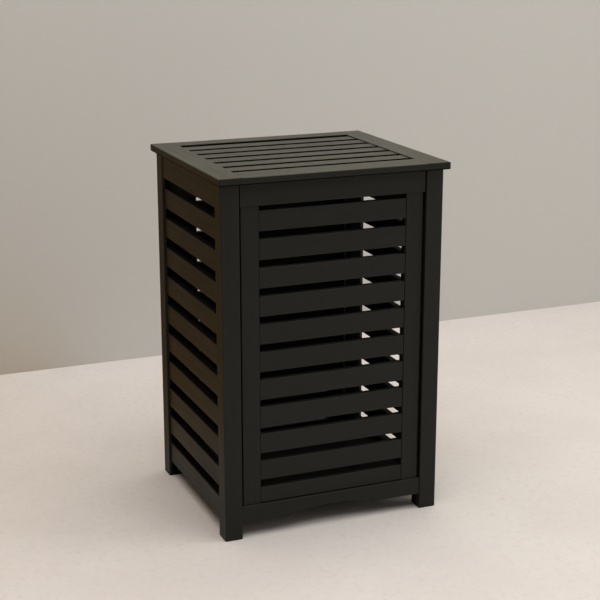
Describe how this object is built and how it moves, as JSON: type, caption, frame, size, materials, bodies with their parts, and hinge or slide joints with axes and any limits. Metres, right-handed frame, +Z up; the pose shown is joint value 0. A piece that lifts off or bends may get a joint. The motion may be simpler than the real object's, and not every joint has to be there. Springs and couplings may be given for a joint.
{
  "type": "laundry hamper",
  "caption": "Slatted wooden laundry hamper on square posts, open between its slats, with a slatted lid hinged at the back.",
  "frame": {"origin": "on the floor under the middle of the body, which is the bottom centre of the bounding box", "axes": "+Z up, +X to the right of someone facing the front, -Y out of the front, +Y to the hinged back"},
  "size_m": [0.408, 0.364, 0.62],
  "materials": {
    "frame_lacquer": "black satin lacquer over wood, faint grain and brush marks, slightly worn at the edges",
    "slat_lacquer": "black satin lacquer over wood, faint grain along each slat",
    "lid_lacquer": "black satin lacquer over wood, with a soft sheen on the lid's top",
    "base_board": "black painted fibreboard",
    "hinge_steel": "black painted steel",
    "zinc_steel": "zinc plated steel",
    "beech": "raw beech"
  },
  "bodies": {
    "frame": {"front_left_post": "frame_lacquer", "front_right_post": "frame_lacquer", "back_left_post": "frame_lacquer", "back_right_post": "frame_lacquer", "front_top_rail": "frame_lacquer", "front_bottom_rail": "frame_lacquer", "back_top_rail": "frame_lacquer", "back_bottom_rail": "frame_lacquer", "left_top_rail": "frame_lacquer", "left_bottom_rail": "frame_lacquer", "right_top_rail": "frame_lacquer", "right_bottom_rail": "frame_lacquer", "front_left_stile": "frame_lacquer", "front_right_stile": "frame_lacquer", "back_left_stile": "frame_lacquer", "back_right_stile": "frame_lacquer", "front_slat_01": "slat_lacquer", "front_slat_02": "slat_lacquer", "front_slat_03": "slat_lacquer", "front_slat_04": "slat_lacquer", "front_slat_05": "slat_lacquer", "front_slat_06": "slat_lacquer", "front_slat_07": "slat_lacquer", "front_slat_08": "slat_lacquer", "front_slat_09": "slat_lacquer", "front_slat_10": "slat_lacquer", "front_slat_11": "slat_lacquer", "left_slat_1": "slat_lacquer", "left_slat_2": "slat_lacquer", "left_slat_3": "slat_lacquer", "left_slat_4": "slat_lacquer", "left_slat_5": "slat_lacquer", "left_slat_6": "slat_lacquer", "left_slat_7": "slat_lacquer", "left_slat_8": "slat_lacquer", "left_slat_9": "slat_lacquer", "right_slats": "slat_lacquer", "back_slats": "slat_lacquer", "base_panel": "base_board", "base_cleats": "slat_lacquer", "left_hinge_frame_leaf": "hinge_steel", "right_hinge_frame_leaf": "hinge_steel", "hinge_pins": "hinge_steel", "hinge_frame_screws": "zinc_steel", "cam_bolts": "zinc_steel", "cam_locks": "zinc_steel", "frame_dowels": "beech"},
    "lid": {"lid_left_rail": "lid_lacquer", "lid_right_rail": "lid_lacquer", "lid_front_rail": "lid_lacquer", "lid_back_rail": "lid_lacquer", "lid_slat_1": "lid_lacquer", "lid_slat_2": "lid_lacquer", "lid_slat_3": "lid_lacquer", "lid_slat_4": "lid_lacquer", "lid_slat_5": "lid_lacquer", "lid_slat_6": "lid_lacquer", "left_hinge_lid_leaf": "hinge_steel", "right_hinge_lid_leaf": "hinge_steel", "hinge_lid_screws": "zinc_steel"}
  },
  "joints": [
    {"name": "lid_hinge", "type": "hinge", "parent": "frame", "child": "lid", "pos_m": [0, 0.17255, 0.60625], "axis": [-1, 0, 0], "range_deg": [0, 105]}
  ]
}
